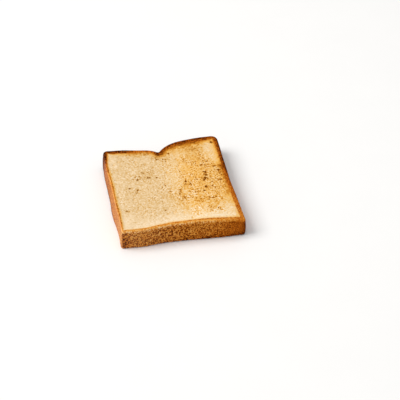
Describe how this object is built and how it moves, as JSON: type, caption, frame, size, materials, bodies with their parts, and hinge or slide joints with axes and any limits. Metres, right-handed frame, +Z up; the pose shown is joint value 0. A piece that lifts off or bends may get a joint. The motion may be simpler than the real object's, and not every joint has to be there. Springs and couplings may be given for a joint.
{
  "type": "slice of toast",
  "caption": "Slice of toasted white pan bread with a two-lobed crown, pitted golden-brown crust and pale, unevenly browned crumb, lying on a cut face.",
  "frame": {"origin": "middle of the bounding box at the level of the surface that the slice lies on", "axes": "+Z up through the slice's thickness, +Y from the loaf's base to its crown, +X across the loaf"},
  "size_m": [0.1188, 0.1296, 0.0226],
  "materials": {
    "toasted_bread": "dry, porous toasted crumb with a golden to dark brown crust"
  },
  "bodies": {
    "root": {"toast": "toasted_bread"}
  },
  "joints": []
}
